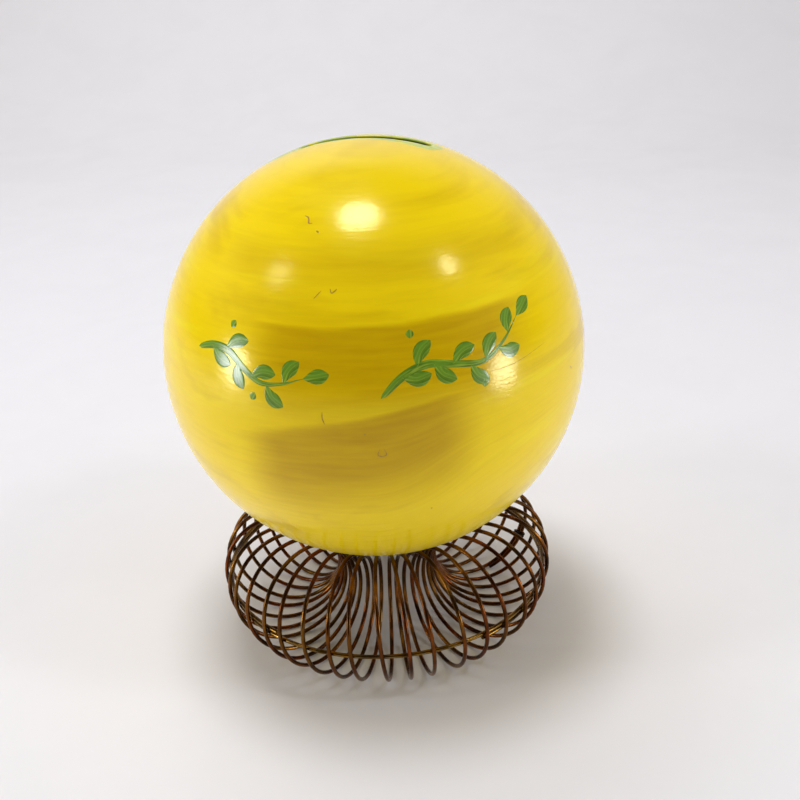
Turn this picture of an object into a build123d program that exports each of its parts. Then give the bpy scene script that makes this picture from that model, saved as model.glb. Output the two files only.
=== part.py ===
"""Coin bank: a hollow painted ball that sits loose on a ring made of one long wire coil.

Millimetres. +Z is up, +X runs along the coin slot and the front is -Y. The origin is on the table,
under the middle of the ring. The ball is two half shells joined at its equator, with the coin slot
in the upper one and a rubber plug in the lower one.
"""

import os
from math import cos, degrees, pi, radians, sin, sqrt, tan

from build123d import *

# The ball
ball_diameter = 120
shell_wall = 3.5
lap_height = 4  # of the lower shell's tongue, inside the upper shell
lap_gap = 0.1
slot_length = 36
slot_width = 4.4
slot_set_back = 5  # behind the top of the ball
slot_edge_round = 0.5

# The plug in the bottom of the ball
plug_hole_diameter = 16
plug_gap = 0.3
plug_rim = 2.4  # how far the flange reaches past the hole
plug_flange = 1.6  # thickness
plug_depth = 10  # of the stem, from the ball's outside
plug_wall = 2.2
plug_taper = 0.4
plug_edge_round = 0.5

# The ring stand: one wire coil bent into a ring
wire_diameter = 1.2
coil_diameter = 36.6  # over the wire
ring_diameter = 65.2  # to the middle of the coil
coil_turns = 40
coil_start_angle = 33.7  # round the ring, where the wire's two ends meet
spacing_wander = 0.85  # degrees that the turns stray round the ring
wander_phase = 233
wander_waves = (3, 14)  # slow and quick strays, in waves round the ring
overlap_corners = 2  # corners of its path that the wire runs on past its own start
strand_gap = 0.1  # between the wire's two ends, where they lie closest
seat_gap = 0.3  # between the ball and the coil

# The loose hoop inside the coil, against its outer side
hoop_wire_diameter = 1.2
hoop_gap = 0.15
hoop_strand_gap = 0.3
hoop_start_angle = -50
hoop_sweep = 646
hoop_section_angle = -9.5  # its start, below the coil's outermost line

# The wire tie round the coil's two ends
tie_wire_diameter = 0.7
tie_wraps = 3
tie_wrap_gap = 0.05
tie_gap = 0.1
tie_drop = 2  # from the wire's start to the tie's nearest edge

# A wire's path is straight runs joined by tangent arcs
corners_per_turn = 12
arc_share = 0.45  # of a run, taken by the arc at each of its ends
corner_angle = 360 / corners_per_turn
arc_inset = 1 - 2 * arc_share * (1 - cos(radians(corner_angle / 2)))  # arc's reach to corner's

ball_radius = ball_diameter / 2
inner_radius = ball_radius - shell_wall
tongue_radius = (ball_radius + inner_radius) / 2
coil_radius = coil_diameter / 2
ring_radius = ring_diameter / 2
strand_radius = coil_radius - wire_diameter / 2  # from the coil's middle to the wire's middle

# The ball drops into the ring until its side meets the coil
ball_height = coil_radius + sqrt((ball_radius + seat_gap + coil_radius) ** 2 - ring_radius**2)
ball_section = Plane(origin=(0, 0, ball_height), x_dir=(1, 0, 0), z_dir=(0, -1, 0))


def arc_radii(points):
    """The radius at each corner of a path: as large as its two runs allow."""
    radii = []
    for before, corner, after in zip(points, points[1:], points[2:]):
        run_in = corner - before
        run_out = after - corner
        setback = arc_share * min(run_in.length, run_out.length)
        radii.append(setback / tan(radians(run_in.get_angle(run_out) / 2)))
    return radii


def wire_along(corners, diameter):
    """A round wire that starts and ends in the middle of its path's first and last runs."""
    first = (corners[0] + corners[1]) / 2
    last = (corners[-2] + corners[-1]) / 2
    with BuildPart() as wire:
        with BuildLine() as path:
            FilletPolyline(first, *corners[1:-1], last, radius=arc_radii(corners))
        with BuildSketch(Plane(origin=first, z_dir=corners[1] - corners[0])):
            Circle(diameter / 2)
        sweep(path=path.wire())
    return wire.part


def on_coil(ring_angle, section_angle, section_radius):
    """A point by its angle round the ring, and its angle and distance from the coil's middle."""
    reach = ring_radius + section_radius * cos(radians(section_angle))
    return Vector(
        reach * cos(radians(ring_angle)),
        reach * sin(radians(ring_angle)),
        coil_radius + section_radius * sin(radians(section_angle)),
    )


# The upper half shell, whose rim is stepped to take the lower shell's tongue
with BuildPart() as upper_shell:
    with BuildSketch(ball_section):
        Circle(ball_radius)
        Circle(inner_radius, mode=Mode.SUBTRACT)
        Rectangle(
            ball_radius, ball_radius, align=(Align.MIN, Align.MIN), mode=Mode.INTERSECT
        )
        Rectangle(
            tongue_radius + lap_gap,
            lap_height + lap_gap,
            align=(Align.MIN, Align.MIN),
            mode=Mode.SUBTRACT,
        )
    revolve(axis=Axis.Z)
    with BuildSketch(Plane.XY.offset(ball_height)):
        with Locations((0, slot_set_back)):
            SlotOverall(slot_length, slot_width)
    extrude(amount=ball_radius, mode=Mode.SUBTRACT)
    outside = upper_shell.faces().sort_by(SortBy.AREA)[-1]
    fillet(outside.inner_wires()[0].edges(), slot_edge_round)
upper_shell.part.label = "upper_shell"

# The lower half shell, with its tongue and the hole that the coins come out of
with BuildPart() as lower_shell:
    with BuildSketch(ball_section):
        Circle(ball_radius)
        Rectangle(
            ball_radius, ball_radius, align=(Align.MIN, Align.MAX), mode=Mode.INTERSECT
        )
        Rectangle(tongue_radius, lap_height, align=(Align.MIN, Align.MIN))
        Circle(inner_radius, mode=Mode.SUBTRACT)
    revolve(axis=Axis.Z)
    with Locations((0, 0, ball_height)):
        Hole(plug_hole_diameter / 2, depth=ball_radius)
lower_shell.part.label = "lower_shell"

# The rubber plug: a domed flange against the ball and a hollow, slightly tapered stem
stem_radius = plug_hole_diameter / 2 - plug_gap
stem_top_radius = stem_radius - plug_taper
stem_top = plug_depth - ball_radius
flange_top = -(ball_radius + plug_gap)
with BuildPart() as bottom_plug:
    with BuildSketch(ball_section):
        Circle(ball_radius + plug_gap + plug_flange)
        Circle(ball_radius + plug_gap, mode=Mode.SUBTRACT)
        Rectangle(
            plug_hole_diameter / 2 + plug_rim,
            ball_diameter,
            align=(Align.MIN, Align.MAX),
            mode=Mode.INTERSECT,
        )
        with BuildLine():
            Polyline(
                (0, flange_top),
                (stem_radius, flange_top),
                (stem_top_radius, stem_top),
                (stem_top_radius - plug_wall, stem_top),
                (stem_radius - plug_wall, flange_top + plug_wall),
                (0, flange_top + plug_wall),
                close=True,
            )
        make_face()
    revolve(axis=Axis.Z)
    rim = bottom_plug.faces().filter_by(GeomType.CYLINDER)[0]
    fillet(rim.edges().filter_by(GeomType.CIRCLE), plug_edge_round)
bottom_plug.part.label = "bottom_plug"

# The coil. The wire runs down the coil's outer side from its start. The last turns stop short of
# a full ring, so that the wire's end lies beside its start
overlap_angle = corner_angle * (overlap_corners + 1 / 2)
beside_angle = degrees(
    (wire_diameter + strand_gap) / (ring_radius + strand_radius * cos(radians(overlap_angle)))
)
turn_pitch = (360 - beside_angle) / coil_turns


def strand(turn, section_radius):
    """The wire's place after so many turns from its start."""
    stray = sum(
        sin(radians(wave * 360 * turn / coil_turns + wander_phase)) for wave in wander_waves
    )
    ring_angle = coil_start_angle + turn_pitch * turn + spacing_wander * stray
    return on_coil(ring_angle, -corner_angle / 2 - 360 * turn, section_radius)


# Each turn stays a solid of its own, end face to end face with the next
corner_count = coil_turns * corners_per_turn + overlap_corners + 2
coil_corners = [
    strand((corner - 1 / 2) / corners_per_turn, strand_radius / arc_inset)
    for corner in range(corner_count)
]
coil_lengths = []
for first_corner in range(0, corner_count - 2, corners_per_turn):
    stretch = coil_corners[first_corner : first_corner + corners_per_turn + 2]
    coil_lengths.append(wire_along(stretch, wire_diameter))
stand_coil = Part(label="stand_coil", children=coil_lengths)

# The hoop: a loose wire hoop of almost two turns, one strand above the other
hoop_section_radius = strand_radius - (wire_diameter + hoop_wire_diameter) / 2 - hoop_gap
hoop_rise = degrees((hoop_wire_diameter + hoop_strand_gap) / hoop_section_radius) / 360
hoop_runs = round(hoop_sweep / corner_angle)
hoop_corners = []
for corner in range(hoop_runs + 2):
    turned = (corner - 1 / 2) * hoop_sweep / hoop_runs
    section_angle = hoop_section_angle + hoop_rise * turned
    point = on_coil(hoop_start_angle + turned, section_angle, hoop_section_radius)
    hoop_corners.append(Vector(point.X / arc_inset, point.Y / arc_inset, point.Z))
core_hoop = wire_along(hoop_corners, hoop_wire_diameter)
core_hoop.label = "core_hoop"

# The tie: thin wire wrapped round both ends of the coil's wire
tie_pitch = tie_wire_diameter + tie_wrap_gap
tie_height = tie_wraps * tie_pitch + tie_wire_diameter
tie_turn = (tie_drop + tie_height / 2) / (2 * pi * strand_radius)
start_strand = strand(tie_turn, strand_radius)
end_strand = strand(coil_turns + tie_turn, strand_radius)
tie_plane = Plane(
    origin=(start_strand + end_strand) / 2,
    x_dir=start_strand - end_strand,
    z_dir=strand(tie_turn + 0.01, strand_radius) - strand(tie_turn - 0.01, strand_radius),
)
tie_half_width = (wire_diameter + tie_wire_diameter) / 2 + tie_gap
tie_half_length = (start_strand - end_strand).length / 2 + tie_half_width
tie_corners = []
for corner in range(4 * tie_wraps + 1):
    side_x = 1 if corner % 4 in (0, 3) else -1
    side_y = 1 if corner % 4 in (0, 1) else -1
    along = (corner - 2 * tie_wraps) * tie_pitch / 4
    tie_corners.append(
        tie_plane.from_local_coords((side_x * tie_half_length, side_y * tie_half_width, along))
    )
coil_tie = wire_along(tie_corners, tie_wire_diameter)
coil_tie.label = "coil_tie"

os.makedirs("parts", exist_ok=True)
export_step(upper_shell.part, "parts/upper_shell.step")
export_step(lower_shell.part, "parts/lower_shell.step")
export_step(bottom_plug.part, "parts/bottom_plug.step")
export_step(stand_coil, "parts/stand_coil.step")
export_step(core_hoop, "parts/core_hoop.step")
export_step(coil_tie, "parts/coil_tie.step")
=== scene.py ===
"""The finish of a hollow painted ball coin bank that stands on a ring of coiled wire.

Metres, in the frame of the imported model: +Z is up, +X runs along the coin slot and the front is -Y.
The ball's half shells, the strokes painted on it, the plug and the three wires each have an
operator of their own, and the stage operator adds the floor, the lights and the camera.
"""

from math import acos, asin, atan2, cos, degrees, hypot, pi, radians, sin, sqrt

import bmesh
import bpy
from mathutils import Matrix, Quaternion, Vector, noise


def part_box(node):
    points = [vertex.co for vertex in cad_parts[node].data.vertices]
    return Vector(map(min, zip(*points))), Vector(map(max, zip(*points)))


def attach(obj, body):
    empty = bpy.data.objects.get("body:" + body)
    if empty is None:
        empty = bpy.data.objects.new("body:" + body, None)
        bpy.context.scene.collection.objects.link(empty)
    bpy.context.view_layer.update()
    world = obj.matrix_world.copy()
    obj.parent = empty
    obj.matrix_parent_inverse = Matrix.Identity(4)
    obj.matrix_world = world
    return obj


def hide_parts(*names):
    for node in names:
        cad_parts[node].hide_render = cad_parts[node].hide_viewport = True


bl_info = {
    "name": "Ball Coin Bank on a Ring Stand",
    "version": (1, 0, 0),
    "blender": (4, 5, 0),
    "location": "View3D > Sidebar > Coin Bank",
    "description": "Makes the painted ball and its coiled wire stand round the packed model",
    "category": "Add Mesh",
}

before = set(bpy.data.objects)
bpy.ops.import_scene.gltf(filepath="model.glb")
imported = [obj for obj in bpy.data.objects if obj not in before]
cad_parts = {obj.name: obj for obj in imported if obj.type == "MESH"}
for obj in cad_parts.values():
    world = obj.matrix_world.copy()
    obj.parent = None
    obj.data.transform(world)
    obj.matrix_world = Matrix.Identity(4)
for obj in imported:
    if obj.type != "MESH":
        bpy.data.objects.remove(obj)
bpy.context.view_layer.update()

MM = 0.001

# The ball's middle is as high as the upper shell's rim, and its radius is half that shell's width
upper_low, upper_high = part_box("upper_shell")
coil_low, coil_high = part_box("stand_coil")
BALL_RADIUS = round((upper_high.x - upper_low.x) / 2, 5)
BALL_MIDDLE = Vector((0, 0, upper_low.z))
COIL_RADIUS = round((coil_high.z - coil_low.z) / 2, 5)


def linear(hex_colour):
    """An sRGB hex colour as linear red, green, blue and alpha."""
    shares = [int(hex_colour[place : place + 2], 16) / 255 for place in (1, 3, 5)]
    curved = [s / 12.92 if s <= 0.04045 else ((s + 0.055) / 1.055) ** 2.4 for s in shares]
    return (*curved, 1.0)


def length(name, description, millimetres):
    """A length that a user may change."""
    return bpy.props.FloatProperty(
        name=name,
        description=description,
        default=millimetres * MM,
        min=0,
        precision=4,
        subtype="DISTANCE",
        unit="LENGTH",
    )


def angle(name, description, turned):
    """An angle that a user may change, given in degrees."""
    return bpy.props.FloatProperty(
        name=name,
        description=description,
        default=radians(turned),
        subtype="ANGLE",
        unit="ROTATION",
    )


def colour(name, description, hex_colour):
    """A colour that a user may change."""
    return bpy.props.FloatVectorProperty(
        name=name,
        description=description,
        default=linear(hex_colour),
        size=4,
        min=0,
        max=1,
        subtype="COLOR",
    )


class CoinBankBall(bpy.types.PropertyGroup):
    """Sizes of the ball and of the paint on it"""

    wall: length("Wall", "Thickness of the shell", 3.5)
    lap_height: length("Lap height", "Height of the lower shell's tongue", 4)
    lap_gap: length("Lap gap", "Clearance round the tongue", 0.1)
    slot_length: length("Slot length", "Length of the coin slot", 36)
    slot_width: length("Slot width", "Width of the coin slot", 4.4)
    slot_set_back: length("Slot set back", "From the top of the ball back to the slot", 5)
    slot_wander: length("Slot wander", "How far the hand-cut slot's sides stray", 0.16)
    edge_round: length("Edge round", "Radius of the worn edges of the slot and the hole", 0.5)
    hole_diameter: length("Hole diameter", "Hole in the bottom, for the plug", 16)
    paint_depth: length("Paint depth", "How deep the hollows of the brushed enamel are", 0.1)
    film: length("Film", "Thickness of a green stroke over the yellow", 0.06)
    stroke_width: length("Stroke width", "Width of the brush that painted the sprigs", 2.5)


class CoinBankStand(bpy.types.PropertyGroup):
    """Sizes of the coiled ring, of the hoop inside it and of its tie"""

    wire_diameter: length("Wire diameter", "Thickness of the coil's wire", 1.2)
    ring_diameter: length("Ring diameter", "Across the ring, to the middle of the coil", 65.2)
    turns: bpy.props.IntProperty(name="Turns", description="Turns of the coil", default=40, min=8)
    start_angle: angle("Start angle", "Where the coil's two ends meet, round the ring", 33.7)
    spacing_wander: angle("Spacing wander", "How far the turns stray round the ring", 0.85)
    wander_phase: angle("Wander phase", "Where the strays begin", 233)
    strand_gap: length("Strand gap", "Between the coil's two ends", 0.1)
    dents: length("Dents", "How far the hand-wound wire strays from a true coil", 0.12)
    hoop_diameter: length("Hoop wire", "Thickness of the hoop's wire", 1.2)
    hoop_gap: length("Hoop gap", "Between the hoop and the coil's outer side", 0.15)
    hoop_strand_gap: length("Hoop strand gap", "Between the hoop's two strands", 0.3)
    hoop_start: angle("Hoop start", "Where the hoop's wire starts, round the ring", -50)
    hoop_sweep: angle("Hoop sweep", "How far round the hoop's wire runs", 646)
    hoop_section: angle("Hoop height", "Where the hoop starts, round the coil's section", -9.5)
    tie_diameter: length("Tie wire", "Thickness of the tie's wire", 0.7)
    tie_wraps: bpy.props.IntProperty(
        name="Tie wraps", description="Wraps of the tie", default=3, min=1
    )
    tie_wrap_gap: length("Tie wrap gap", "Between the wraps of the tie", 0.05)
    tie_gap: length("Tie gap", "Between the tie and the strands it holds", 0.1)
    tie_drop: length("Tie drop", "From the wire's start to the tie", 2)


class CoinBankColours(bpy.types.PropertyGroup):
    """Colours of the paints, the shell, the rubber, the metals and the floor"""

    yellow: colour("Yellow", "Enamel of full thickness", "#F4D40A")
    # Ochre is thin enamel, and on the ball's front bands it is also painted shade
    ochre: colour("Ochre", "Enamel brushed thin, with the ground showing through", "#B88C04")
    lemon: colour("Lemon", "Fresh last strokes of enamel", "#F8E60E")
    green: colour("Green", "Green strokes", "#6A9428")
    dark_green: colour("Dark green", "Green strokes where the paint pooled", "#4A7018")
    pale_green: colour("Pale green", "Green strokes where the brush ran dry", "#9CB83C")
    thin_green: colour("Thin green", "Green thinned out over the yellow, round the slot", "#B4C860")
    ground: colour("Ground", "Ground colour in scratches and pits", "#9A7410")
    # The bare shell's brown, deepened to paint the shade inside the slot
    raw_shell_and_slot_shade: colour("Raw shell", "The bare inside of the ball", "#2E1E12")
    rubber: colour("Rubber", "The plug", "#151515")
    patina: colour("Patina", "Dark tarnish on the wires", "#26160A")
    copper: colour("Copper", "The coil's wire where it is rubbed bright", "#904A1C")
    worn_copper: colour("Worn copper", "The coil's wire where it is rubbed yellow", "#8E6020")
    brass: colour("Brass", "The hoop's wire where it is rubbed bright", "#8A6420")
    floor: colour("Floor", "The card that the bank stands on", "#EAE9EC")


# ---------------------------------------------------------------------------------------------
# Materials


def add_node(tree, kind, inputs=None, **settings):
    """Adds a node with its settings. Each input, by its identifier, gets a value or a link."""
    node = tree.nodes.new(kind)
    for name, value in settings.items():
        setattr(node, name, value)
    sockets = {socket.identifier: socket for socket in node.inputs}
    for name, value in (inputs or {}).items():
        if isinstance(value, bpy.types.NodeSocket):
            tree.links.new(value, sockets[name])
        else:
            sockets[name].default_value = value
    return next((socket for socket in node.outputs if socket.enabled), node)


def new_material(name):
    """A material with no nodes yet, and its node tree."""
    material = bpy.data.materials.new(name)
    material.use_nodes = True
    material.node_tree.nodes.clear()
    return material, material.node_tree


def brushed_yellow_enamel_and_front_shade(colours):
    """Solvent enamel, brushed on by hand in strokes that run round the ball. It gives the eye a
    deep yellow gloss, bristle lines and laps, and ochre bands on the front that are partly thin
    paint and partly painted shade where the front faces the dark open side."""
    material, tree = new_material("brushed_yellow_enamel_and_front_shade")
    place = tree.nodes.new("ShaderNodeTexCoord").outputs["Object"]
    place = add_node(
        tree,
        "ShaderNodeVectorMath",
        {"Vector": place, "Vector_001": BALL_MIDDLE},
        operation="SUBTRACT",
    )
    parts = tree.nodes.new("ShaderNodeSeparateXYZ")
    tree.links.new(place, parts.inputs[0])
    across, upward = parts.outputs["X"], parts.outputs["Z"]

    # On the lower right the strokes rise to the right
    steepest = radians(26)
    to_right = add_node(
        tree,
        "ShaderNodeMapRange",
        {"Value": across, "From Min": 2 * MM, "From Max": 34 * MM},
        interpolation_type="SMOOTHSTEP",
    )
    to_low = add_node(
        tree,
        "ShaderNodeMapRange",
        {"Value": upward, "From Min": 16 * MM, "From Max": -10 * MM},
        interpolation_type="SMOOTHSTEP",
    )
    lower_right = add_node(
        tree, "ShaderNodeMath", {"Value": to_right, "Value_001": to_low}, operation="MULTIPLY"
    )
    rise = add_node(
        tree,
        "ShaderNodeMath",
        {"Value": lower_right, "Value_001": steepest},
        operation="MULTIPLY",
    )
    place = add_node(
        tree, "ShaderNodeVectorRotate", {"Vector": place, "Angle": rise}, rotation_type="Y_AXIS"
    )

    # Noise drawn out along the strokes: how high a streak is, and how many times as long
    streaks = {}
    for name, height, stretch, detail, distortion in (
        ("patches", 15, 2.6, 3, 0.6),
        ("bands", 5.5, 6, 3, 0.35),
        ("streaks", 1.3, 14, 3, 0.2),
        ("bristles", 0.42, 26, 2, 0.0),
        ("grain", 0.9, 2.2, 2, 0.0),
    ):
        drawn_out = add_node(
            tree,
            "ShaderNodeVectorMath",
            {"Vector": place, "Vector_001": (1 / stretch, 1 / stretch, 1)},
            operation="MULTIPLY",
        )
        streaks[name] = add_node(
            tree,
            "ShaderNodeTexNoise",
            {
                "Vector": drawn_out,
                "Scale": 1 / (height * MM),
                "Detail": detail,
                "Roughness": 0.55,
                "Distortion": distortion,
            },
        )

    # Three dragged-out bands on the front, in millimetres from the ball's middle: thin paint, and
    # painted shade where the front faces the dark open side. The two lower ones have a sharper upper
    # edge, and the lowest rises a little to the right
    waver = 2.4  # of the bands' edges
    side_soft, back_soft = 14, 20  # how far a band takes to fade out at its ends and to the back
    # The ochre share: thin paint, and painted shade on the front bands
    thin = None
    for slant, low_edge, low_soft, high_edge, high_soft, left, right, strength in (
        (0.0, 33, 7, 47, 7, -36, 52, 0.35),
        (0.0, 0, 18, 29, 2.0, -28, 48, 0.75),
        (-0.2, -26, 20, 7.5, 3.0, -30, 36, 0.84),
    ):
        wavy = add_node(
            tree,
            "ShaderNodeMath",
            {"Value": streaks["patches"], "Value_001": waver * MM, "Value_002": upward},
            operation="MULTIPLY_ADD",
        )
        wavy = add_node(
            tree,
            "ShaderNodeMath",
            {"Value": across, "Value_001": slant, "Value_002": wavy},
            operation="MULTIPLY_ADD",
        )
        sides = []
        for value, start, end in (
            (wavy, low_edge + waver / 2, low_edge + low_soft + waver / 2),
            (wavy, high_edge + waver / 2, high_edge - high_soft + waver / 2),
            (across, left, left + side_soft),
            (across, right, right - side_soft),
        ):
            sides.append(
                add_node(
                    tree,
                    "ShaderNodeMapRange",
                    {"Value": value, "From Min": start * MM, "From Max": end * MM},
                    interpolation_type="SMOOTHSTEP",
                )
            )
        band = add_node(
            tree,
            "ShaderNodeMapRange",
            {
                "Value": parts.outputs["Y"],
                "From Min": 0.0,
                "From Max": -back_soft * MM,
                "To Max": strength,
            },
            interpolation_type="SMOOTHSTEP",
        )
        for side in sides:
            band = add_node(
                tree, "ShaderNodeMath", {"Value": band, "Value_001": side}, operation="MULTIPLY"
            )
        if thin is None:
            thin = band
        else:
            thin = add_node(
                tree, "ShaderNodeMath", {"Value": thin, "Value_001": band}, operation="MAXIMUM"
            )

    # Elsewhere the enamel is thin in chance patches
    chance = add_node(
        tree,
        "ShaderNodeMapRange",
        {"Value": streaks["patches"], "From Min": 0.5, "From Max": 0.72, "To Max": 0.35},
        interpolation_type="SMOOTHSTEP",
    )
    thin = add_node(
        tree, "ShaderNodeMath", {"Value": thin, "Value_001": chance}, operation="MAXIMUM"
    )
    streaky = add_node(
        tree,
        "ShaderNodeMapRange",
        {"Value": streaks["bands"], "From Min": 0.3, "From Max": 0.7, "To Min": 0.76},
    )
    thin = add_node(
        tree, "ShaderNodeMath", {"Value": thin, "Value_001": streaky}, operation="MULTIPLY"
    )
    drag = add_node(
        tree,
        "ShaderNodeMapRange",
        {
            "Value": streaks["streaks"],
            "From Min": 0.35,
            "From Max": 0.65,
            "To Min": -0.07,
            "To Max": 0.07,
        },
    )
    thin = add_node(
        tree, "ShaderNodeMath", {"Value": thin, "Value_001": drag}, operation="ADD", use_clamp=True
    )
    fresh = add_node(
        tree,
        "ShaderNodeMapRange",
        {"Value": streaks["bands"], "From Min": 0.5, "From Max": 0.75, "To Max": 0.5},
        interpolation_type="SMOOTHSTEP",
    )
    paint = add_node(
        tree,
        "ShaderNodeMix",
        {"Factor_Float": fresh, "A_Color": colours.yellow, "B_Color": colours.lemon},
        data_type="RGBA",
    )
    # Ochre where the enamel is thin, and over the front bands as painted shade
    paint = add_node(
        tree,
        "ShaderNodeMix",
        {"Factor_Float": thin, "A_Color": paint, "B_Color": colours.ochre},
        data_type="RGBA",
    )

    # Bristle lines and laps stand up from the surface by hundredths of a millimetre
    relief = None
    for name, height in (("grain", 0.07), ("bristles", 0.02), ("streaks", 0.06)):
        below = {"Normal": relief} if relief else {}
        relief = add_node(
            tree,
            "ShaderNodeBump",
            {"Height": streaks[name], "Strength": 0.5, "Distance": height * MM, **below},
        )
    gloss = add_node(
        tree,
        "ShaderNodeMapRange",
        {
            "Value": streaks["bands"],
            "From Min": 0.3,
            "From Max": 0.7,
            "To Min": 0.15,
            "To Max": 0.2,
        },
    )
    shader = add_node(
        tree,
        "ShaderNodeBsdfPrincipled",
        {
            "Base Color": paint,
            "Roughness": gloss,
            "IOR": 1.5,
            "Specular Tint": linear("#FFF8B8"),
            "Normal": relief,
        },
    )
    add_node(tree, "ShaderNodeOutputMaterial", {"Surface": shader})
    return material


def brushed_green_enamel(name, main, thick, dry_brushed):
    """Green enamel from a loaded round brush. It gives the eye a translucent gloss, dark where the
    paint pooled along the stroke and pale where the bristles ran dry."""
    material, tree = new_material(name)
    stroke = tree.nodes.new("ShaderNodeAttribute")
    stroke.attribute_name = "stroke"
    place = stroke.outputs["Vector"]
    noises = {}
    for kind, width, stretch in (("hairs", 0.5, 16), ("pools", 1.8, 4)):
        drawn_out = add_node(
            tree,
            "ShaderNodeVectorMath",
            {"Vector": place, "Vector_001": (1 / stretch, 1, 1)},
            operation="MULTIPLY",
        )
        noises[kind] = add_node(
            tree,
            "ShaderNodeTexNoise",
            {"Vector": drawn_out, "Scale": 1 / (width * MM), "Detail": 3, "Roughness": 0.5},
        )
    dry = add_node(
        tree,
        "ShaderNodeMapRange",
        {"Value": noises["hairs"], "From Min": 0.46, "From Max": 0.66, "To Max": 0.75},
        interpolation_type="SMOOTHSTEP",
    )
    pooled = add_node(
        tree,
        "ShaderNodeMapRange",
        {"Value": noises["pools"], "From Min": 0.4, "From Max": 0.64, "To Max": 0.9},
        interpolation_type="SMOOTHSTEP",
    )
    paint = add_node(
        tree,
        "ShaderNodeMix",
        {"Factor_Float": pooled, "A_Color": main, "B_Color": thick},
        data_type="RGBA",
    )
    paint = add_node(
        tree,
        "ShaderNodeMix",
        {"Factor_Float": dry, "A_Color": paint, "B_Color": dry_brushed},
        data_type="RGBA",
    )
    relief = add_node(
        tree, "ShaderNodeBump", {"Height": noises["hairs"], "Strength": 0.5, "Distance": 0.03 * MM}
    )
    shader = add_node(
        tree,
        "ShaderNodeBsdfPrincipled",
        {"Base Color": paint, "Roughness": 0.2, "IOR": 1.5, "Normal": relief},
    )
    add_node(tree, "ShaderNodeOutputMaterial", {"Surface": shader})
    return material


def finished(name, base, darker, blotch, grain, roughness, relief, ior=1.5, metallic=0.0):
    """A material whose colour and gloss wander between two tones in blotches, over a
    fine grain that stands up from the surface. Sizes are in millimetres."""
    material, tree = new_material(name)
    place = tree.nodes.new("ShaderNodeTexCoord").outputs["Object"]
    noises = {}
    for kind, size, detail, distortion in (("blotches", blotch, 4, 0.4), ("grains", grain, 2, 0)):
        noises[kind] = add_node(
            tree,
            "ShaderNodeTexNoise",
            {
                "Vector": place,
                "Scale": 1 / (size * MM),
                "Detail": detail,
                "Roughness": 0.55,
                "Distortion": distortion,
            },
        )
    worn = add_node(
        tree,
        "ShaderNodeMapRange",
        {"Value": noises["blotches"], "From Min": 0.38, "From Max": 0.64},
        interpolation_type="SMOOTHSTEP",
    )
    tone = add_node(
        tree,
        "ShaderNodeMix",
        {"Factor_Float": worn, "A_Color": base, "B_Color": darker},
        data_type="RGBA",
    )
    gloss = add_node(
        tree,
        "ShaderNodeMapRange",
        {
            "Value": noises["blotches"],
            "From Min": 0.35,
            "From Max": 0.65,
            "To Min": roughness * 0.8,
            "To Max": roughness * 1.2,
        },
    )
    bump = add_node(
        tree,
        "ShaderNodeBump",
        {"Height": noises["grains"], "Strength": 0.5, "Distance": relief * MM},
    )
    shader = add_node(
        tree,
        "ShaderNodeBsdfPrincipled",
        {
            "Base Color": tone,
            "Metallic": metallic,
            "Roughness": gloss,
            "IOR": ior,
            "Normal": bump,
        },
    )
    add_node(tree, "ShaderNodeOutputMaterial", {"Surface": shader})
    return material


def scratched_ground(colours):
    """The ground coat in a scratch or a pit of the enamel: a dull dark ochre line or speck."""
    return finished("scratched_ground", colours.ground, colours.ochre, 0.8, 0.2, 0.5, 0.02)


def raw_turned_shell_and_slot_shade(colours):
    """The hard shell left bare inside: dull brown fibre with the cutter's dark marks, its brown
    deepened to paint the shade inside the slot.
    """
    return finished("raw_turned_shell_and_slot_shade", colours.raw_shell_and_slot_shade, colours.patina, 3, 0.4, 0.75, 0.15)


def moulded_black_rubber(colours):
    """Moulded rubber: near black, soft sheen, with the mould's fine spark-eroded grain."""
    return finished(
        "moulded_black_rubber", colours.rubber, linear("#262524"), 5, 0.3, 0.5, 0.02, ior=1.52
    )


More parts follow.
